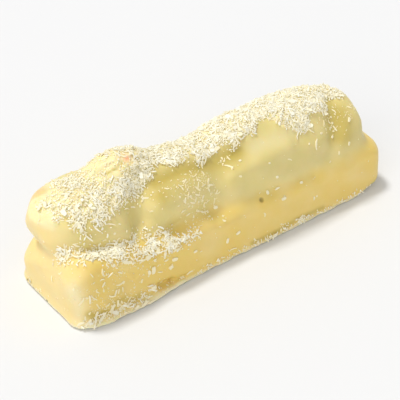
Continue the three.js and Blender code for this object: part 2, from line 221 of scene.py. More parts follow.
def line_distance(points, line):
    corners = np.array(line, float)
    if len(corners) == 1:
        return np.linalg.norm(points - corners[0], axis=-1)
    nearest = np.full(len(points), np.inf)
    for start, end in zip(corners[:-1], corners[1:]):
        along = end - start
        share = np.clip((points - start) @ along / (along @ along), 0, 1)
        gap = np.linalg.norm(points - start - share[:, None] * along, axis=-1)
        nearest = np.minimum(nearest, gap)
    return nearest


def strokes_height(points, strokes):
    height = np.zeros(len(points))
    for stroke in strokes:
        away = line_distance(points, stroke["line"]) / stroke["width"]
        height += stroke["height"] * np.exp(-(away**2))
    return height


def wave_height(x, y, z):
    first = np.sin(WAVE_TURNS_XZ[0] * x + WAVE_TURNS_XZ[1] * z)
    second = np.sin(WAVE_TURNS_YX[0] * y + WAVE_TURNS_YX[1] * x)
    return WAVE_HEIGHT * passed(WAVE_RISE, z) * (first * second)


def bar_distance(points):
    x, y, z = points.T
    crease_blend = blend(*CREASE_BLENDS, passed(CREASE_ALONG, x))
    body = soft_union(slab_distance(x, y, z), roll_distance(x, y, z), crease_blend)
    return body - strokes_height(points, STROKES) - wave_height(x, y, z)


def cast_out(origins, rays):
    """The points where rays from inside the bar leave it."""
    inside = np.zeros(len(rays))
    outside = np.full(len(rays), FIRST_STEP)
    searching = np.arange(len(rays))
    while len(searching):
        gap = bar_distance(origins[searching] + rays[searching] * outside[searching, None])
        searching = searching[gap < 0]
        inside[searching] = outside[searching]
        outside[searching] += np.clip(-STEP_SHARE * gap[gap < 0], *STEP_RANGE)
    for halving in range(HALVINGS):
        middle = (inside + outside) / 2
        within = bar_distance(origins + rays * middle[:, None]) < 0
        inside = np.where(within, middle, inside)
        outside = np.where(within, outside, middle)
    return origins + rays * inside[:, None]


def rays_at(angles):
    return np.stack([0 * angles, np.cos(angles), np.sin(angles)], axis=-1)


def ring_rays():
    """Directions round the spine, closer together where the bar's sections are long or bend."""
    angles = np.linspace(0, 2 * math.pi, RING_SAMPLES, endpoint=False)
    pace = np.zeros(RING_SAMPLES)
    for x in RING_SECTIONS:
        section = cast_out(np.tile((x, 0, SPINE_HEIGHT), (RING_SAMPLES, 1)), rays_at(angles))
        ahead = np.roll(section, -1, axis=0) - section
        length = np.linalg.norm(ahead, axis=-1)
        heading = ahead / length[:, None]
        turn = np.arccos(np.clip(np.sum(heading * np.roll(heading, 1, axis=0), axis=-1), -1, 1))
        nearby = sum(np.roll(turn, shift) for shift in range(-BEND_REACH, BEND_REACH + 1)) / BEND_DIVISOR
        below = section[:, 2] < UNDERSIDE
        pace += np.where(below, UNDERSIDE_PACE, 1) * (length + BEND_SHARE * nearby)
    progress = np.concatenate([[0], np.cumsum(pace)])
    wanted = progress[-1] * np.arange(RAYS_AROUND) / RAYS_AROUND
    return rays_at(np.interp(wanted, progress, np.append(angles, 2 * math.pi)))


def side_row(x, rays):
    return np.tile((x, 0, SPINE_HEIGHT), (len(rays), 1)), rays


def end_row(side, turn, ring):
    """Rays of one row on an end, cast from the spine's end towards a squarish ring."""
    origin = np.array((side * SPINE_END, 0, SPINE_HEIGHT))
    rays = (ring - origin) * math.cos(turn) ** END_SQUARENESS
    rays[:, 0] = side * (LENGTH / 2 - SPINE_END) * math.sin(turn) ** END_SQUARENESS
    return np.tile(origin, (len(rays), 1)), rays / np.linalg.norm(rays, axis=-1)[:, None]


def skin_points():
    """All points of the skin, row after row from left to right, and last the two tips."""
    rays = ring_rays()
    turns = np.arange(1, ROWS_AT_END) * math.pi / 2 / ROWS_AT_END
    left_ring = cast_out(*side_row(-SPINE_END, rays))
    right_ring = cast_out(*side_row(SPINE_END, rays))
    rows = [end_row(-1, turn, left_ring) for turn in turns[::-1]]
    rows += [side_row(x, rays) for x in np.linspace(-SPINE_END, SPINE_END, ROWS_ALONG + 1)]
    rows += [end_row(1, turn, right_ring) for turn in turns]
    rows += [side_row(side * SPINE_END, np.array([(side, 0.0, 0.0)])) for side in (-1, 1)]
    origins = np.concatenate([row[0] for row in rows])
    directions = np.concatenate([row[1] for row in rows])
    return cast_out(origins, directions)


def skin_faces(count):
    left_tip, right_tip = count - 2, count - 1
    ray = np.arange(RAYS_AROUND)
    following = (ray + 1) % RAYS_AROUND
    starts = np.arange(0, count - 2 - RAYS_AROUND, RAYS_AROUND)[:, None]
    ahead = starts + RAYS_AROUND
    quads = np.stack([starts + ray, starts + following, ahead + following, ahead + ray], axis=-1)
    last = count - 2 - RAYS_AROUND
    left = [(left_tip, int(b), int(a)) for a, b in zip(ray, following)]
    right = [(int(last + a), int(last + b), right_tip) for a, b in zip(ray, following)]
    return quads.reshape(-1, 4).tolist() + left + right


def facing(points):
    """The direction in which the bar's surface faces at points on it."""
    moves = FACING_STEP * np.eye(3)
    steps = [bar_distance(points + move) - bar_distance(points - move) for move in moves]
    slopes = np.stack(steps, axis=-1)
    return slopes / np.linalg.norm(slopes, axis=-1)[:, None]


def ripple(points, size, seed):
    """A smooth seeded pattern of bumps, each about as wide as size, mostly between -1 and 1."""
    random = np.random.default_rng(seed)
    headings = random.normal(size=(RIPPLE_WAVES, 3))
    headings *= math.pi / size / np.linalg.norm(headings, axis=-1)[:, None]
    starts = random.uniform(0, 2 * math.pi, RIPPLE_WAVES)
    return np.sin(points @ headings.T + starts).sum(axis=-1) / RIPPLE_DIVISOR


# The bed in which the thick coconut lies is a little raised and rough. Its front edge is a line of (x, y).
# Every ripple is given as the size of its bumps and a seed.
COVER_FRONT = [(-52, -4), (-44, -7.5), (-38, -7), (-31, -4.6), (-25, -4), (-16, -3.2), (-8, -4.2),
               (0, -4.9), (10, -6), (14.3, -4.2), (17.5, -3.2), (20, -7.6), (25, -9.4), (30, -9),
               (37, -6.4), (46, -3.2)]
COVER_BACK = 9
COVER_LOWEST = 25
COVER_END = 47
EDGE_SOFTNESS = 2.2
EDGE_RAGGEDNESS = 1.3
EDGE_RIPPLE = (3.5, 5)
BED_THICKNESS = 0.15
BED_ROUGHNESS = 0.25
BED_RIPPLE = (1.3, 8)
SWELL_HEIGHT = 0.07
SWELL_RIPPLE = (6, 2)
LIP_FALL = (1.6, 0.6)
LIP_RAGGEDNESS = 0.25
LIP_RIPPLE = (4, 3)
LIP_FINE_RIPPLE = (1.2, 4)
LIP_FINE_SHARE = 0.4

# Small marks in the skin: an air bubble's pit, a fold above the foot, the flap and slit on the highest lump,
# and shreds drowned in the coat. Dark olive painted shade lies in the fold, the furrows and valleys, the
# flap's slit and along the foot, and among the shreds at the foot's left there are also deeper yellow
# stains.
PIT = (6.6, -14.9, 14.9)
FOLD = [(-30.8, -16.6, 3.2), (-26.8, -16.7, 2.8)]
FOLD_TAIL = [(-26.8, -16.7, 2.8), (-22.5, -16.8, 2.4)]
FLAP = [(-36.6, 0, 34.1), (-35.2, -0.6, 34.7), (-32.5, -0.9, 35.3), (-30.6, -0.2, 35.8)]
FLAP_SLIT = [(-31.6, -2.4, 34), (-33, -3.8, 31.7)]
# Painted shade in dark olive along these lines, with a few real deeper yellow stains among the shreds at the
# foot.
SHADES_AND_STAINS = [
    dict(line=FOLD, width=1.0, height=0.8),
    dict(line=FOLD_TAIL, width=0.7, height=0.55),
    dict(line=FURROW, width=2.6, height=0.85),
    dict(line=RIGHT_FURROW, width=2.6, height=0.65),
    dict(line=[(42.5, -9, 28), (41.8, -12, 25.5), (40.8, -13.2, 22)], width=3, height=0.6),
    dict(line=[(-27, -8, 27.5), (-25, -9.5, 26.5)], width=2.4, height=0.45),
    dict(line=[(-24, -9, 27), (-14, -9.5, 27.3)], width=2.4, height=0.3),
    dict(line=[(-3, -9, 27), (2, -9.5, 26.6)], width=2.6, height=0.35),
    dict(line=FLAP, width=0.45, height=0.9),
    dict(line=FLAP_SLIT, width=0.4, height=0.7),
    dict(line=[(-54, -16, 4.8), (-52, -16.5, 3.4), (-49, -16.5, 3.2)], width=1.2, height=0.75),
    dict(line=[(-46, -16.5, 4.4), (-42.5, -16.5, 4.6)], width=1.2, height=0.65),
    dict(line=[(-41, -16.8, 3.2), (-38, -16.8, 3.2)], width=1.0, height=0.6),
    dict(line=[(2, -17, 2.4), (12, -17, 2.2), (20, -17, 3), (30, -17, 2.6)], width=0.8, height=0.7),
    dict(line=[(-47, -16.2, 7), (-43, -16.2, 8)], width=1.6, height=0.2),
    dict(line=[(-10, -14.6, 15.2), (-3, -15, 15.2), (2, -15.2, 15.2)], width=2, height=0.22),
]
# A red tinge shows at the tip of the flap and at the left end. A painted highlight makes the coat paler on
# the near corner and along the roll's ridge, and the lip at the foot is paler too.
FOOT_LIP = [(-55.5, -16.4, 1.4), (-46, -17.6, 1.3), (-35, -17.8, 1.2), (-24, -17.6, 1.2)]
BLUSHES = [
    dict(line=[(-29.3, 0.4, 36)], width=0.7, height=0.9),
    dict(line=[(-28.4, 0.8, 35.9)], width=2.2, height=0.2),
    dict(line=[(-51.6, 9, 30.1)], width=2.6, height=0.2),
    dict(line=[(-53.2, 10, 28.8), (-51.8, 10, 29.6)], width=0.4, height=0.4),
]
# The first two strokes are painted highlights; the last is the pale lip at the foot.
PALE_AND_HIGHLIGHTS = [
    dict(line=[(-56.8, -13.5, 13), (-57, -15.6, 8), (-57.3, -15.9, 3)], width=2.4, height=0.5),
    dict(line=[(8, -9.8, 30.2), (22, -10.5, 30.5)], width=2.2, height=0.3),
    dict(line=FOOT_LIP, width=1, height=0.6),
]
MARKS = [
    dict(line=[PIT], width=0.7, height=-0.7),
    dict(line=FOLD, width=0.9, height=-1.4),
    dict(line=FOLD_TAIL, width=0.6, height=-0.8),
    dict(line=FLAP, width=0.5, height=-0.5),
    dict(line=FLAP_SLIT, width=0.4, height=-0.3),
    dict(line=[(-41, -16, 12.5), (-39.5, -16, 10)], width=0.5, height=0.25),
    dict(line=[(-38.5, -16, 9), (-35.5, -16, 10.5)], width=0.6, height=0.22),
    dict(line=[(-47, -16, 12), (-45.5, -16, 13.5)], width=0.5, height=0.2),
    dict(line=[(-49.5, -16, 7), (-48.5, -16, 4.5)], width=0.5, height=0.25),
    dict(line=[(-30, -12, 19.5), (-27, -12.5, 19)], width=0.5, height=0.2),
    dict(line=[(-24.5, -12, 20.5), (-22, -12.5, 21.5)], width=0.5, height=0.2),
]


def cover_share(points):
    """How much of the thick coconut lies at a point: 1 on the top of the roll, 0 below its edges."""
    x, y, z = points.T
    ragged = EDGE_RAGGEDNESS * ripple(points, *EDGE_RIPPLE)
    front = smooth_step((y - curve_at(COVER_FRONT, x) + ragged) / EDGE_SOFTNESS + 0.5)
    back = smooth_step((COVER_BACK - y + ragged) / EDGE_SOFTNESS + 0.5)
    end = smooth_step((COVER_END - x + ragged) / EDGE_SOFTNESS + 0.5)
    return front * back * end * smooth_step((z - COVER_LOWEST) / EDGE_SOFTNESS)


def fine_relief(points):
    height = points[:, 2]
    bed = cover_share(points) * (BED_THICKNESS + BED_ROUGHNESS * ripple(points, *BED_RIPPLE))
    swell = SWELL_HEIGHT * passed(WAVE_RISE, height) * ripple(points, *SWELL_RIPPLE)
    low = passed(LIP_FALL, height) * (height > UNDERSIDE)
    coarse = np.clip(ripple(points, *LIP_RIPPLE), 0, 1)
    fine = np.clip(ripple(points, *LIP_FINE_RIPPLE), 0, 1)
    lip = LIP_RAGGEDNESS * low * (coarse + LIP_FINE_SHARE * fine)
    return bed + swell - lip + strokes_height(points, MARKS)


skin_at = skin_points()
skin_at += facing(skin_at) * fine_relief(skin_at)[:, None]
skin_at[:, 2] = np.maximum(skin_at[:, 2], 0)

# The skin's length and width are those of the solid that it stands for.
skin_low, skin_high = skin_at.min(axis=0), skin_at.max(axis=0)
solid_low, solid_high = np.array(cad_low) / MM, np.array(cad_high) / MM
fit = (solid_high - solid_low) / (skin_high - skin_low)
fit[2] = 1
shift = (solid_high + solid_low) / 2 - (skin_high + skin_low) / 2 * fit
shift[2] = 0


def placed(points):
    """Points of the shape above, moved to where they are in the frame, in metres."""
    return (np.array(points) * fit + shift) * MM


def mesh_object(name, points, faces):
    mesh = bpy.data.meshes.new(name)
    mesh.from_pydata(points.tolist(), [], faces)
    piece = bpy.data.objects.new(name, mesh)
    bpy.context.scene.collection.objects.link(piece)
    return piece


def add_attribute(piece, name, values):
    attribute = piece.data.attributes.new(name, "FLOAT", "POINT")
    attribute.data.foreach_set("value", values.astype(np.float32))


# No painted shade, stain or blush hides the coat's own colour fully, and the slab's colour fades into the
# roll's over a few millimetres.
MOST_MARK_SHARE = 0.9
ROLL_FADE = 7

skin = mesh_object("bar_skin", placed(skin_at), skin_faces(len(skin_at)))
skin.data.shade_smooth()
x, y, z = skin_at.T
add_attribute(skin, "cover", cover_share(skin_at))
add_attribute(skin, "stain", np.clip(strokes_height(skin_at, SHADES_AND_STAINS), 0, MOST_MARK_SHARE))
add_attribute(skin, "blush", np.clip(strokes_height(skin_at, BLUSHES), 0, MOST_MARK_SHARE))
add_attribute(skin, "pale", strokes_height(skin_at, PALE_AND_HIGHLIGHTS))
add_attribute(skin, "roll", smooth_step((slab_distance(x, y, z) - roll_distance(x, y, z)) / ROLL_FADE + 0.5))


class Wire:
    """One output socket of a node, on which sums, differences and products add Math nodes."""

    def __init__(self, tree, socket):
        self.tree = tree
        self.socket = socket

    def _math(self, operation, *values):
        return add_node(self.tree, "ShaderNodeMath", dict(operation=operation), dict(enumerate(values)))

    def __add__(self, other):
        return self._math("ADD", self, other)

    __radd__ = __add__

    def __sub__(self, other):
        return self._math("SUBTRACT", self, other)

    def __rsub__(self, other):
        return self._math("SUBTRACT", other, self)

    def __mul__(self, other):
        return self._math("MULTIPLY", self, other)

    __rmul__ = __mul__

    def out(self, name):
        return Wire(self.tree, self.socket.node.outputs[name])


def add_node(tree, kind, settings=None, inputs=None, output=0):
    """Adds a node with its settings, then its inputs by name or number, and gives one of its outputs."""
    node = tree.nodes.new(kind)
    for name, value in (settings or {}).items():
        if name == "stops":
            fill_ramp(node.color_ramp, value)
        else:
            setattr(node, name, value)
    for name, value in (inputs or {}).items():
        if isinstance(value, Wire):
            tree.links.new(value.socket, node.inputs[name])
        else:
            node.inputs[name].default_value = value
    return Wire(tree, node.outputs[output] if node.outputs else None)


def fill_ramp(ramp, stops):
    while len(ramp.elements) < len(stops):
        ramp.elements.new(1)
    for element, (place, shade) in zip(ramp.elements, stops):
        element.position = place
        element.color = (shade, shade, shade, 1)


def mix_colours(tree, share, first, second):
    inputs = {0: share}
    for number, colour in {6: first, 7: second}.items():
        inputs[number] = colour if isinstance(colour, Wire) else (*colour, 1)
    return add_node(tree, "ShaderNodeMix", dict(data_type="RGBA"), inputs, 2)


def attribute(tree, name):
    return add_node(tree, "ShaderNodeAttribute", dict(attribute_name=name), output="Fac")


def noise(tree, place, size, detail=2.0):
    """A noise pattern whose bumps are about as wide as size, in millimetres."""
    inputs = {"Vector": place, "Scale": 1 / (size * MM), "Detail": detail}
    return add_node(tree, "ShaderNodeTexNoise", None, inputs)


def ramp(tree, value, *stops):
    return add_node(tree, "ShaderNodeValToRGB", dict(stops=stops), {0: value})


def spot(tree, place, centre, radius):
    """1 at a place on the skin, falling to 0 at a radius from it."""
    away = add_node(tree, "ShaderNodeVectorMath", dict(operation="DISTANCE"),
                    {0: place, 1: tuple(placed(centre))}, 1)
    return ramp(tree, 1 - away * (1 / (radius * MM)), (0, 0), (0.7, 1))


def finish_material(name, shader_inputs):
    """A material of one Principled shader. The function given fills its inputs from the material's tree."""
    material = bpy.data.materials.new(name)
    material.use_nodes = True
    tree = material.node_tree
    tree.nodes.clear()
    shader = add_node(tree, "ShaderNodeBsdfPrincipled", None, shader_inputs(tree))
    add_node(tree, "ShaderNodeOutputMaterial", None, {"Surface": shader})
    return material


# The coat's colours. The left end, which the left lamp lights, is paler as a painted highlight, and the rim
# at the foot is paler. The pit is painted dark as shade, and one dark speck sits at the foot.
SLAB_COLOUR = (0.86, 0.635, 0.17)
ROLL_COLOUR = (0.76, 0.64, 0.25)
END_HIGHLIGHT_COLOUR = (0.85, 0.665, 0.28)
END_FADE = (-50, -58)
CLOUD_COLOUR = (0.93, 0.76, 0.40)
CLOUD_SIZE = 9
PALE_AND_HIGHLIGHT_COLOUR = (0.97, 0.90, 0.62)
BED_COLOUR = (0.90, 0.80, 0.45)
BED_SHARE = 0.8
RIM_COLOUR = (0.98, 0.92, 0.70)
RIM_HEIGHT = 1.9 * MM
# The pit's dark spot is painted shade inside the air bubble's hole.
PIT_SHADE_COLOUR = (0.30, 0.22, 0.05)
PIT_SHADE_SPREAD = 1.0
SHADE_AND_STAIN_COLOUR = (0.54, 0.41, 0.08)
BLUSH_COLOUR = (0.90, 0.36, 0.20)
SPECK = (-58.2, -0.6, 1.1)
SPECK_SPREAD = 0.7
SPECK_COLOUR = (0.05, 0.04, 0.03)
PORE_SIZE = 0.5


def coating_inputs(tree):
    place = add_node(tree, "ShaderNodeTexCoord").out("Object")
    along = add_node(tree, "ShaderNodeSeparateXYZ", None, {0: place})
    height = along.out("Z")
    base = mix_colours(tree, attribute(tree, "roll"), SLAB_COLOUR, ROLL_COLOUR)
    # How far along the left end the painted highlight reaches.
    lit_end_share = add_node(tree, "ShaderNodeMapRange", dict(interpolation_type="SMOOTHSTEP"),
                      {"Value": along, "From Min": END_FADE[0] * MM, "From Max": END_FADE[1] * MM})
    cloudy = ramp(tree, noise(tree, place, CLOUD_SIZE, 3.0), (0.4, 0), (0.75, 0.35))
    rim = ramp(tree, 1 - height * (1 / RIM_HEIGHT), (0, 0), (0.5, 0.6), (0.8, 0.9))
    # Of these layers, the lit end and the pale strokes on the corner and ridge are painted highlight, and
    # the pit's spot and the dark olive strokes are painted shade.
    for share, colour in (
        (lit_end_share, END_HIGHLIGHT_COLOUR),
        (cloudy, CLOUD_COLOUR),
        (attribute(tree, "pale"), PALE_AND_HIGHLIGHT_COLOUR),
        (attribute(tree, "cover") * BED_SHARE, BED_COLOUR),
        (rim, RIM_COLOUR),
        (spot(tree, place, PIT, PIT_SHADE_SPREAD), PIT_SHADE_COLOUR),
        (attribute(tree, "stain"), SHADE_AND_STAIN_COLOUR),
        (attribute(tree, "blush"), BLUSH_COLOUR),
        (spot(tree, place, SPECK, SPECK_SPREAD), SPECK_COLOUR),
    ):
        base = mix_colours(tree, share, base, colour)
    pores = noise(tree, place, PORE_SIZE)
    bump = add_node(tree, "ShaderNodeBump", None, {"Strength": 0.05, "Distance": 0.0002, "Height": pores})
    return {"Base Color": base, "Roughness": 0.42, "Subsurface Weight": 0.3, "Subsurface Scale": 0.002,
            "Subsurface Radius": (1.0, 0.6, 0.25), "IOR": 1.46, "Normal": bump}


skin.data.materials.append(finish_material("white_coating", coating_inputs))
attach(skin, "root")
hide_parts("coconut_bar")

# The sprinkled coconut: desiccated shreds and crumbs of white coconut flesh, grated and dried, thrown
# on while the coat was wet, so that they stick in it, thick on the roll and along the ledge.

# Places where more of it lies, or less, each along a line on the skin, with its reach and its share.
THATCH_CLUSTERS = [
    dict(line=[(-50.5, -4, 30), (-49.5, -7, 28.5)], width=2.2, height=0.7),
    dict(line=[(-58, -3, 26), (-57, 8, 24)], width=4, height=-1.5),
    dict(line=[(-44.3, -7.7, 28.4), (-41, -4.8, 30.6)], width=2.8, height=0.8),
    dict(line=[(-35.1, -5.1, 29.9), (-31, -4.5, 28.6)], width=2.6, height=0.9),
    dict(line=[(-54.2, 3.8, 29.5)], width=1.6, height=0.8),
    dict(line=[(-49.7, -9, 25.5)], width=1, height=0.7),
    dict(line=[(-28, -16.8, 2.1), (-22, -17, 1.8)], width=1.4, height=-1.2),
    dict(line=[(-34.1, -1.8, 34.5)], width=2, height=-0.8),
    dict(line=[(-29.3, 0.4, 36)], width=1.4, height=-0.7),
    dict(line=[(-48, 6, 31.2), (-45.5, 2.5, 32.2), (-45, 6, 31.4)], width=2.2, height=0.5),
    dict(line=[(-35.5, -3.5, 32), (-31.5, -3, 32.6)], width=1.3, height=0.6),
    dict(line=[(-37, 5.3, 34.5), (-33, 4, 36)], width=3.0, height=-0.25),
    dict(line=[(-51.5, 8, 30.5)], width=3.5, height=-0.9),
    dict(line=[(-55.8, -6.4, 19.8), (-50, -11, 20), (-44.5, -13.4, 18.8)], width=2.1, height=1.0),
    dict(line=[(-44.5, -13, 18.4), (-38, -12.8, 17.8), (-32, -12.8, 16.2)], width=2.4, height=1.1),
    dict(line=[(-32, -13, 16.2), (-26, -14.3, 14.8)], width=2.4, height=0.9),
    dict(line=[(-26, -14.5, 14.5), (-17, -15.1, 13.8)], width=1.4, height=0.6),
    dict(line=[(-56.2, -16, 1.6), (-46, -16.8, 1.8), (-36, -17, 1.6)], width=1.1, height=0.7),
    dict(line=[(-36, -17, 1.5), (10, -17.3, 1.2)], width=0.9, height=0.5),
    dict(line=[(14.5, -16.8, 2.1), (15.5, -16.8, 2.1)], width=0.8, height=0.6),
    dict(line=[(20.3, -16.9, 1.9), (22.2, -16.9, 1.8)], width=1, height=0.9),
    dict(line=[(10, -17.3, 1.2), (50, -17, 1.5)], width=0.8, height=0.2),
    dict(line=[(-34, -16.4, 3.4), (-32.7, -17, 1.6)], width=1, height=0.6),
    dict(line=[(-57.7, 9, 1.8), (-57.9, 2, 1.6)], width=1, height=0.5),
    dict(line=[(-20, 13, 17), (30, 14, 17)], width=2, height=0.12),
]
SPARSE_CLUSTERS = [
    dict(line=[(-52, -16, 9), (-44, -16, 8)], width=6, height=0.5),
    dict(line=[(-50, -16, 4), (-36, -16.5, 3)], width=2.5, height=0.5),
    dict(line=[(-44, -15.5, 15), (-28, -15.8, 11)], width=3, height=0.4),
    dict(line=[(-14.5, -11.2, 25), (-12, -11.5, 22)], width=4.4, height=1),
    dict(line=[(-16, -10.5, 26), (-11, -11.3, 24.5)], width=2.2, height=0.8),
    dict(line=[(-14, -9, 27.8), (-5, -10, 27.8), (-2, -8, 28.5)], width=2.2, height=0.7),
    dict(line=[(-17, -12.5, 17.5), (-9, -13, 17)], width=1.8, height=0.6),
    dict(line=[(-28.5, -8.9, 25.1)], width=1.6, height=0.6),
    dict(line=[(-22, -9, 27.5), (-8, -9, 27)], width=2.5, height=0.5),
    dict(line=[(36, -11, 28), (44, -10, 29.5)], width=3, height=0.8),
    dict(line=[(43.6, -12.2, 27.5)], width=2, height=0.8),
    dict(line=[(48, -6, 27), (50, 2, 25)], width=4, height=0.3),
    dict(line=[(-57, -16, 1.5), (56, -17, 1.4)], width=1, height=0.5),
    dict(line=[(-20, 12, 24), (40, 12.5, 25)], width=4, height=0.4),
    dict(line=[(-50, 14, 18), (50, 16, 15)], width=2.5, height=0.3),
]
# Less coconut lies on the left lump, so that the coat shows through. It is patchy everywhere: patches are
# given as a middle share and how far it swings.
LEFT_THINNING = (-22, -34)
LEFT_SHARE = 0.24
LEFT_CRUMBS_SHARE = 0.36
ROLL_PATCHES = (0.95, 0.4)
ROLL_PATCH_RIPPLE = (4.5, 13)
CLUSTER_PATCHES = (0.85, 0.45)
CLUSTER_PATCH_RIPPLE = (2.5, 14)
MOST_THATCH = 1.4
SPARSE_NEAR_THATCH = 0.25
SPARSE_ANYWHERE = 0.02
# No shred is laid this close above the table, and what would still reach down to it is stopped short.
FOOT_GAP = 1.3
TABLE_GAP = 0.1


def patches(points, middle_and_swing, size_and_seed):
    middle, swing = middle_and_swing
    return middle + swing * ripple(points, *size_and_seed)


def thatch_share(points, left_share):
    thinning = blend(1, left_share, passed(LEFT_THINNING, points[:, 0]))
    on_roll = cover_share(points) * thinning * patches(points, ROLL_PATCHES, ROLL_PATCH_RIPPLE)
    clusters = strokes_height(points, THATCH_CLUSTERS)
    clusters *= patches(points, CLUSTER_PATCHES, CLUSTER_PATCH_RIPPLE)
    return np.clip(on_roll + clusters, 0, MOST_THATCH) * (points[:, 2] > FOOT_GAP)


thatch = thatch_share(skin_at, LEFT_SHARE)
around = SPARSE_NEAR_THATCH * thatch + strokes_height(skin_at, SPARSE_CLUSTERS)
sparse = np.clip(around + SPARSE_ANYWHERE, 0, 1) * (skin_at[:, 2] > FOOT_GAP)
add_attribute(skin, "thatch", thatch)
add_attribute(skin, "fine", thatch_share(skin_at, LEFT_CRUMBS_SHARE))
add_attribute(skin, "sparse", sparse)


def geometry_tree(name, sockets):
    """A modifier's tree with named inputs. Gives the tree and its inputs as wires, by name."""
    tree = bpy.data.node_groups.new(name, "GeometryNodeTree")
    tree.is_modifier = True
    for title, kind in sockets.items():
        tree.interface.new_socket(name=title, in_out="INPUT", socket_type="NodeSocket" + kind)
    tree.interface.new_socket(name="Shreds", in_out="OUTPUT", socket_type="NodeSocketGeometry")
    given = add_node(tree, "NodeGroupInput")
    return tree, {title: given.out(title) for title in sockets}


def random_number(tree, low, high, seed):
    inputs = {2: low, 3: high, "Seed": seed}
    return add_node(tree, "FunctionNodeRandomValue", dict(data_type="FLOAT"), inputs, 1)


def vector_of(tree, *parts):
    return add_node(tree, "ShaderNodeCombineXYZ", None, dict(enumerate(parts)))


def scaled(tree, vector, share):
    return add_node(tree, "ShaderNodeVectorMath", dict(operation="SCALE"), {0: vector, "Scale": share})


def summed(tree, first, second):
    return add_node(tree, "ShaderNodeVectorMath", dict(operation="ADD"), {0: first, 1: second})


def keep(tree, geometry, name, value, kind="FLOAT"):
    """Keeps a value of each point under a name, so that it is still known once shreds are made of it."""
    inputs = {"Geometry": geometry, "Name": name, "Value": value}
    return add_node(tree, "GeometryNodeStoreNamedAttribute", dict(data_type=kind), inputs)


def kept(tree, name, kind="FLOAT"):
    return add_node(tree, "GeometryNodeInputNamedAttribute", dict(data_type=kind), {"Name": name})


def align(tree, normal, tilts, yaw):
    """Turns a shred to lie on the skin, turned by yaw and tilted a little out of it."""
    flat = add_node(tree, "FunctionNodeAlignRotationToVector", dict(axis="Z"), {"Vector": normal})
    turn = add_node(tree, "FunctionNodeEulerToRotation", None, {0: vector_of(tree, 0.0, 0.0, yaw)})
    tilt = add_node(tree, "FunctionNodeEulerToRotation", None, {0: vector_of(tree, *tilts, 0.0)})
    local = dict(rotation_space="LOCAL")
    turned = add_node(tree, "FunctionNodeRotateRotation", local, {0: flat, 1: turn})
    return add_node(tree, "FunctionNodeRotateRotation", local, {0: turned, 1: tilt})


# How wide the small bumps are that make each shred uneven.
UNEVEN_SIZE = 0.9


def shreds_on(tree, points, rotation, size, bend, curl, tone, given):
    """Puts a shred on every point: a tapered bar, then bent sideways and curled up by its own amounts."""
    for name, axis in (("sideways", (0, 1, 0)), ("upwards", (0, 0, 1))):
        direction = add_node(tree, "FunctionNodeRotateVector", None, {0: axis, 1: rotation})
        points = keep(tree, points, name, direction, "FLOAT_VECTOR")
    for name, value in (("bend", bend), ("curl", curl), ("tone", tone)):
        points = keep(tree, points, name, value)
    block = add_node(tree, "GeometryNodeMeshCube", None,
                     {"Vertices X": given["Steps"], "Vertices Y": 2, "Vertices Z": 2})
    here = add_node(tree, "GeometryNodeInputPosition")
    along = add_node(tree, "ShaderNodeSeparateXYZ", None, {0: here})
    reach = 4 * along * along  # 0 in the shred's middle and 1 at its ends
    block = keep(tree, block, "reach", reach)
    narrowing = 1 - given["Taper"] * reach
    narrowed = vector_of(tree, along, along.out("Y") * narrowing, along.out("Z") * narrowing)
    block = add_node(tree, "GeometryNodeSetPosition", None, {"Geometry": block, "Position": narrowed})
    laid = add_node(tree, "GeometryNodeInstanceOnPoints", None,
                    {"Points": points, "Instance": block, "Rotation": rotation, "Scale": size})
    real = add_node(tree, "GeometryNodeRealizeInstances", None, {"Geometry": laid})
    bowed = kept(tree, "bend") * (1 - kept(tree, "reach"))
    sideways = scaled(tree, kept(tree, "sideways", "FLOAT_VECTOR"), bowed)
    curled = kept(tree, "curl") * kept(tree, "reach")
    upwards = scaled(tree, kept(tree, "upwards", "FLOAT_VECTOR"), curled)
    lumpy = noise(tree, here, UNEVEN_SIZE, 1.0).out("Color")
    uneven = scaled(tree, summed(tree, lumpy, (-0.5, -0.5, -0.5)), given["Unevenness"])
    offset = summed(tree, summed(tree, sideways, upwards), uneven)
    bent = add_node(tree, "GeometryNodeSetPosition", None, {"Geometry": real, "Offset": offset})
    return add_node(tree, "GeometryNodeSetMaterial", None, {"Geometry": bent, "Material": given["Material"]})


SHRED_NUMBERS = ("Count per square metre", "Length low", "Length high", "Width low", "Width high",
                 "Thickness", "Bend", "Curl", "Tilt", "Depth low", "Depth high", "Taper", "Unevenness",
                 "Whiteness")
SHRED_SOCKETS = {"Skin": "Geometry", "Where": "String", **dict.fromkeys(SHRED_NUMBERS, "Float"),
                 "Steps": "Int", "Seed": "Int", "Material": "Material"}


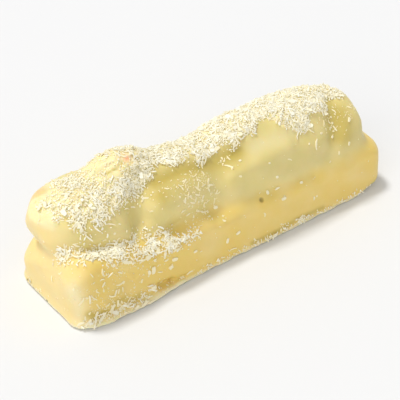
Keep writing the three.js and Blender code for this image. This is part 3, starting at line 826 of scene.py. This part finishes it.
def scatter_tree():
    """Scatters shreds over the skin, as thick as the named share says, each its own size and turn."""
    tree, given = geometry_tree("coconut_scatter", SHRED_SOCKETS)
    seed = given["Seed"]
    share = kept(tree, given["Where"])
    density = share * given["Count per square metre"]
    points = add_node(tree, "GeometryNodeDistributePointsOnFaces", None,
                      {"Mesh": given["Skin"], "Density": density, "Seed": seed})
    normal = points.out("Normal")
    chance = random_number(tree, 0.0, 1.0, seed + 1)
    longest = given["Length high"] - given["Length low"]
    length = given["Length low"] + longest * chance * chance * chance
    width = random_number(tree, given["Width low"], given["Width high"], seed + 2)
    thickness = given["Thickness"] * random_number(tree, 0.7, 1.3, seed + 3)
    bend = given["Bend"] * length * random_number(tree, -1.0, 1.0, seed + 4)
    curl = given["Curl"] * length * random_number(tree, -0.5, 1.0, seed + 5)
    tilts = [given["Tilt"] * random_number(tree, -1.0, 1.0, seed + number) for number in (6, 7)]
    yaw = random_number(tree, 0.0, 2 * math.pi, seed + 8)
    rotation = align(tree, normal, tilts, yaw)
    height = random_number(tree, 0.0, 1.0, seed + 10)
    depth = given["Depth low"] + (given["Depth high"] - given["Depth low"]) * height
    piled = add_node(tree, "GeometryNodeSetPosition", None,
                     {"Geometry": points, "Offset": scaled(tree, normal, depth)})
    # The lower a shred lies in the pile, the darker and yellower its tone, partly as painted shade in the
    # gaps.
    tone = given["Whiteness"] * (0.6 * height + random_number(tree, 0.0, 0.4, seed + 9))
    size = vector_of(tree, length, width, thickness)
    shreds = shreds_on(tree, piled, rotation, size, bend, curl, tone, given)
    add_node(tree, "NodeGroupOutput", None, {0: shreds})
    return tree


# Deep in the coconut the shreds are yellower and darker, partly for the coat they lie in and partly as
# painted shade in the gaps. A faint painted glow, given as emission, keeps their shaded sides and gaps
# creamy.
DEEP_AND_SHADED_COLOUR = (0.87, 0.76, 0.43)
TOP_COLOUR = (0.88, 0.88, 0.80)
SHRED_PATCH_COLOUR = (0.88, 0.80, 0.58)
SHRED_PATCH_SIZE = 0.8
SHRED_GRAIN = 0.25
PAINTED_GLOW_COLOUR = (1.0, 0.93, 0.68)
PAINTED_GLOW_STRENGTH = 0.06


def coconut_inputs(tree):
    place = add_node(tree, "ShaderNodeTexCoord").out("Object")
    base = mix_colours(tree, attribute(tree, "tone"), DEEP_AND_SHADED_COLOUR, TOP_COLOUR)
    patchy = ramp(tree, noise(tree, place, SHRED_PATCH_SIZE), (0.45, 0), (0.7, 0.4))
    base = mix_colours(tree, patchy, base, SHRED_PATCH_COLOUR)
    grain = noise(tree, place, SHRED_GRAIN)
    bump = add_node(tree, "ShaderNodeBump", None, {"Strength": 0.3, "Distance": 0.0001, "Height": grain})
    # The emission is a painted glow that lifts the shreds' shade; the coconut is no lamp.
    return {"Base Color": base, "Roughness": 0.6, "Normal": bump,
            "Emission Color": (*PAINTED_GLOW_COLOUR, 1), "Emission Strength": PAINTED_GLOW_STRENGTH}


coconut = finish_material("coconut", coconut_inputs)
scatter = scatter_tree()


def run_tree(source, tree, values, name):
    """Runs a tree on an object and gives its result as a new plain mesh piece, kept in the solid's box."""
    modifier = source.modifiers.new("coconut", "NODES")
    modifier.node_group = tree
    for item in tree.interface.items_tree:
        if item.in_out == "INPUT" and item.name in values:
            modifier[item.identifier] = values[item.name]
    evaluated = source.evaluated_get(bpy.context.evaluated_depsgraph_get())
    mesh = bpy.data.meshes.new_from_object(evaluated)
    source.modifiers.remove(modifier)
    mesh.name = name
    for extra in ("sideways", "upwards", "bend", "curl", "reach", "outward", "heading", "size"):
        if extra in mesh.attributes:
            mesh.attributes.remove(mesh.attributes[extra])
    at = np.empty(3 * len(mesh.vertices), np.float32)
    mesh.vertices.foreach_get("co", at)
    lowest = np.array(cad_low) + (0, 0, TABLE_GAP * MM)
    inside = np.clip(at.reshape(-1, 3), lowest, cad_high)
    mesh.vertices.foreach_set("co", inside.ravel())
    mesh.update()
    piece = bpy.data.objects.new(name, mesh)
    bpy.context.scene.collection.objects.link(piece)
    return piece


# Every kind of shred: sizes in millimetres, then where it lies, how many, and its shape and colour.
COCONUT_KINDS = {
    "coconut_thatch": (
        {"Length low": 0.8, "Length high": 2.9, "Width low": 0.22, "Width high": 0.5, "Thickness": 0.22,
         "Depth low": -0.05, "Depth high": 0.5, "Unevenness": 0.2},
        {"Where": "thatch", "Count per square metre": 2.1e6, "Bend": 0.16, "Curl": 0.1, "Tilt": 0.34,
         "Taper": 0.4, "Whiteness": 1.0, "Steps": 4, "Seed": 100}),
    "coconut_crumbs": (
        {"Length low": 0.3, "Length high": 0.9, "Width low": 0.25, "Width high": 0.5, "Thickness": 0.26,
         "Depth low": -0.05, "Depth high": 0.36, "Unevenness": 0.2},
        {"Where": "fine", "Count per square metre": 7e6, "Bend": 0.1, "Curl": 0.1, "Tilt": 0.5,
         "Taper": 0.3, "Whiteness": 0.95, "Steps": 2, "Seed": 200}),
    "coconut_chips": (
        {"Length low": 1.2, "Length high": 2.6, "Width low": 0.8, "Width high": 1.3, "Thickness": 0.26,
         "Depth low": 0.15, "Depth high": 0.45, "Unevenness": 0.4},
        {"Where": "thatch", "Count per square metre": 0.07e6, "Bend": 0.08, "Curl": 0.14, "Tilt": 0.45,
         "Taper": 0.35, "Whiteness": 0.9, "Steps": 4, "Seed": 300}),
    "coconut_strays": (
        {"Length low": 0.7, "Length high": 3.2, "Width low": 0.3, "Width high": 0.6, "Thickness": 0.26,
         "Depth low": -0.1, "Depth high": 0.06, "Unevenness": 0.2},
        {"Where": "sparse", "Count per square metre": 0.36e6, "Bend": 0.2, "Curl": 0.1, "Tilt": 0.2,
         "Taper": 0.4, "Whiteness": 0.25, "Steps": 4, "Seed": 400}),
    "coconut_dust": (
        {"Length low": 0.2, "Length high": 0.7, "Width low": 0.18, "Width high": 0.35, "Thickness": 0.22,
         "Depth low": -0.03, "Depth high": 0.06, "Unevenness": 0.1},
        {"Where": "sparse", "Count per square metre": 1.3e6, "Bend": 0.1, "Curl": 0.1, "Tilt": 0.3,
         "Taper": 0.3, "Whiteness": 0.15, "Steps": 2, "Seed": 500}),
}

for name, (sizes, other_values) in COCONUT_KINDS.items():
    in_metres = {size: value * MM for size, value in sizes.items()}
    sprinkled = run_tree(skin, scatter, {**in_metres, **other_values, "Material": coconut}, name)
    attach(sprinkled, "root")

# Single shreds, chips and clumps that stick out on the bare coat: desiccated coconut too, each stuck in
# the wet coat in its own place. Each is (place near the skin, length, width, thickness, lean), with its
# lean in degrees from along the bar.
SINGLE_SHREDS = [
    ((-53.6, -16, 10), 2.9, 0.5, 0.3, 90),
    ((-48.9, -15.8, 12.5), 1.6, 0.5, 0.3, 45),
    ((-45.5, -16.2, 8.2), 1.8, 0.45, 0.3, 60),
    ((-41.2, -15.6, 16.3), 3.4, 0.9, 0.4, -30),
    ((-33.9, -15.5, 13.9), 1.8, 1.1, 0.5, 20),
    ((-34.3, -16, 9.3), 1.6, 0.9, 0.4, 100),
    ((-32.9, -16, 9.5), 2.4, 1.2, 0.4, 85),
    ((-33.3, -16.4, 3.6), 1.6, 1.3, 0.7, 10),
    ((-30.4, -15, 14.1), 1.6, 1.0, 0.5, 50),
    ((-28.7, -15.7, 12.5), 2.0, 0.7, 0.4, 70),
    ((-27.1, -16, 7.6), 1.4, 1.1, 0.5, 30),
    ((-25.7, -14.7, 14.6), 2.2, 0.65, 0.4, -35),
    ((-25.6, -15.9, 9.7), 1.8, 1.1, 0.4, -10),
    ((-18.6, -16.1, 9.1), 1.2, 0.7, 0.4, 15),
    ((-7.9, -10.6, 16.5), 1.2, 0.9, 0.5, 0),
    ((-6.8, -15.9, 7.1), 1.5, 0.7, 0.4, 70),
    ((-3, -16, 8.1), 1.5, 0.8, 0.4, 20),
    ((-2.4, -4.6, 30.8), 3.0, 1.2, 0.4, 20),
    ((2.4, -10.6, 29), 0.8, 0.6, 0.3, 0),
    ((9.3, -13.5, 15.8), 1.3, 0.8, 0.4, 100),
    ((10.6, -13.7, 25.8), 0.7, 0.6, 0.3, 0),
    ((12.6, -14.3, 20.1), 0.8, 0.7, 0.3, 0),
    ((12.9, -13.8, 15.8), 1.5, 0.6, 0.4, 10),
    ((14.3, -15.5, 12.5), 1.6, 1.0, 0.5, 0),
    ((21.5, -14.8, 14.7), 1.0, 0.8, 0.4, 0),
    ((26.5, -16, 7.3), 1.3, 0.45, 0.3, 90),
    ((29, -12.8, 24), 3.3, 0.5, 0.35, 72),
    ((36.7, -12.8, 24.1), 0.9, 0.6, 0.3, 45),
    ((38.5, -11.6, 26), 2.0, 0.4, 0.3, 108),
    ((41.3, -15.3, 20.7), 1.2, 0.6, 0.3, 70),
    ((43.6, -12.2, 27.5), 1.5, 0.8, 0.4, 60),
    ((-56.3, -15.3, 2.2), 2.2, 0.6, 0.4, 10),
    ((-54.5, -16.1, 2.6), 2.4, 0.7, 0.4, 35),
    ((-52.1, -16.4, 3.8), 2.2, 0.7, 0.4, 60),
    ((-50.5, -16.8, 2.4), 2.8, 0.7, 0.4, 30),
    ((-47.1, -16.5, 3.4), 2.4, 0.8, 0.4, 50),
    ((-45.1, -16.4, 4.2), 2.0, 0.5, 0.4, 75),
    ((-43.8, -17.1, 2.3), 2.8, 0.8, 0.4, 15),
    ((-40.6, -17.1, 2.1), 2.2, 0.8, 0.4, 30),
    ((-37.6, -16.9, 2.2), 2.6, 0.8, 0.4, 20),
    ((-35.6, -17.1, 2), 2.0, 0.7, 0.4, 5),
]


def on_skin(places):
    """The points of the skin straight out from the spine by way of the places, and where it faces there."""
    places = np.array(places, float)
    spine = np.tile((0, 0, SPINE_HEIGHT), (len(places), 1)).astype(float)
    spine[:, 0] = np.clip(places[:, 0], -SPINE_END, SPINE_END)
    rays = places - spine
    found = cast_out(spine, rays / np.linalg.norm(rays, axis=-1)[:, None])
    outward = facing(found)
    return found + outward * fine_relief(found)[:, None], outward


def leaning(outward, degrees):
    """The direction on the skin that leans up by an angle from the bar's length."""
    along = np.array((1, 0, 0)) - outward * outward[:, :1]
    along /= np.linalg.norm(along, axis=-1)[:, None]
    lean = np.radians(degrees)[:, None]
    return along * np.cos(lean) + np.cross(outward, along) * np.sin(lean)


def add_vectors(piece, name, values):
    values = np.ascontiguousarray(values, np.float32)
    piece.data.attributes.new(name, "FLOAT_VECTOR", "POINT").data.foreach_set("vector", values.ravel())


def single_tree():
    """Lays one shred on every point given, with the size and the lean that the point has."""
    numbers = dict.fromkeys(("Bend", "Curl", "Taper", "Unevenness", "Whiteness"), "Float")
    sockets = {"Places": "Geometry", **numbers, "Steps": "Int", "Seed": "Int", "Material": "Material"}
    tree, given = geometry_tree("coconut_single", sockets)
    points = add_node(tree, "GeometryNodeMeshToPoints", None, {"Mesh": given["Places"]})
    flat = add_node(tree, "FunctionNodeAlignRotationToVector", dict(axis="Z"),
                    {"Vector": kept(tree, "outward", "FLOAT_VECTOR")})
    turned = add_node(tree, "FunctionNodeAlignRotationToVector", dict(axis="X", pivot_axis="Z"),
                      {"Rotation": flat, "Vector": kept(tree, "heading", "FLOAT_VECTOR")})
    size = kept(tree, "size", "FLOAT_VECTOR")
    length = add_node(tree, "ShaderNodeSeparateXYZ", None, {0: size})
    bend = given["Bend"] * length * random_number(tree, -1.0, 1.0, given["Seed"])
    tone = given["Whiteness"] * random_number(tree, 0.7, 1.0, given["Seed"] + 1)
    shreds = shreds_on(tree, points, turned, size, bend, given["Curl"] * length, tone, given)
    add_node(tree, "NodeGroupOutput", None, {0: shreds})
    return tree


# A single shred's middle lies above the skin by this share of its thickness.
RAISED_SHARE = 0.25
SINGLE_VALUES = {"Bend": 0.07, "Curl": 0.05, "Taper": 0.35, "Unevenness": 0.3 * MM, "Whiteness": 0.35,
                 "Steps": 5, "Seed": 600, "Material": coconut}

shred_at, shred_outward = on_skin([single[0] for single in SINGLE_SHREDS])
shred_size = np.array([single[1:4] for single in SINGLE_SHREDS])
shred_lean = np.array([single[4] for single in SINGLE_SHREDS])
shred_at += shred_outward * shred_size[:, 2:] * RAISED_SHARE
places = mesh_object("single_places", placed(shred_at), [])
add_vectors(places, "outward", shred_outward)
add_vectors(places, "heading", leaning(shred_outward, shred_lean))
add_vectors(places, "size", shred_size * MM)
singles = run_tree(places, single_tree(), SINGLE_VALUES, "coconut_singles")
bpy.data.objects.remove(places)
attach(singles, "root")

# The table: a plain white matt top, flat and much wider than the picture. It is a stage and no part of
# the bar, which only stands on it.
TABLE_REACH = 3
TABLE_CORNERS = TABLE_REACH * np.array([(-1, -1, 0), (1, -1, 0), (1, 1, 0), (-1, 1, 0)])
TABLE_WHITE = 0.78


def table_inputs(tree):
    return {"Base Color": (TABLE_WHITE, TABLE_WHITE, TABLE_WHITE, 1), "Roughness": 0.9}


floor = mesh_object("table_top", TABLE_CORNERS, [(0, 1, 2, 3)])
floor.data.materials.append(finish_material("table_white", table_inputs))

# The light: a soft lamp high behind the bar, a weaker and wider one low on its left, and an even white
# room. Each lamp shines from its direction, and its spread is in degrees.
LAMPS = {
    "overhead_lamp": dict(direction=(-0.2, 0.3, 1), energy=1.85, spread=12),
    "left_lamp": dict(direction=(-1, -0.4, 0.36), energy=0.88, spread=50),
}
ROOM_STRENGTH = 0.57
for name, lamp in LAMPS.items():
    lamp_data = bpy.data.lights.new(name, "SUN")
    lamp_data.energy = lamp["energy"]
    lamp_data.angle = math.radians(lamp["spread"])
    lamp_object = bpy.data.objects.new(name, lamp_data)
    lamp_object.rotation_euler = Vector(lamp["direction"]).to_track_quat("Z", "Y").to_euler()
    bpy.context.scene.collection.objects.link(lamp_object)
world = bpy.data.worlds.new("white_room")
world.use_nodes = True
world.node_tree.nodes["Background"].inputs["Color"].default_value = (1, 1, 1, 1)
world.node_tree.nodes["Background"].inputs["Strength"].default_value = ROOM_STRENGTH
bpy.context.scene.world = world
bpy.context.scene.view_settings.view_transform = "Standard"

# The camera: it looks down on the bar's left front corner, from about a third of a metre away. Its place
# was worked out from the slab's corners in the picture, in millimetres and in picture pixels.
AZIMUTH, ELEVATION = math.radians(-38.4), math.radians(35.3)
DISTANCE = 323.5
FOCAL_PIXELS = 1100
FRAME_PIXELS = 400
SENSOR = 36
AIM_OFFSET_PIXELS = (-10.6, -14.9)
LOOK_AT = Vector((0, 0.65, 15))
level = math.cos(ELEVATION)
back = Vector((math.sin(AZIMUTH) * level, -math.cos(AZIMUTH) * level, math.sin(ELEVATION)))
right = Vector((math.cos(AZIMUTH), math.sin(AZIMUTH), 0))
up = back.cross(right)
stand = LOOK_AT + back * DISTANCE
aim = LOOK_AT + (right * AIM_OFFSET_PIXELS[0] + up * AIM_OFFSET_PIXELS[1]) * DISTANCE / FOCAL_PIXELS
camera_data = bpy.data.cameras.new("camera")
camera_data.sensor_width = SENSOR
camera_data.lens = FOCAL_PIXELS * SENSOR / FRAME_PIXELS
camera_data.clip_start = 0.01
camera = bpy.data.objects.new("camera", camera_data)
camera.location = stand * MM
camera.rotation_euler = (stand - aim).to_track_quat("Z", "Y").to_euler()
bpy.context.scene.collection.objects.link(camera)
bpy.context.scene.camera = camera
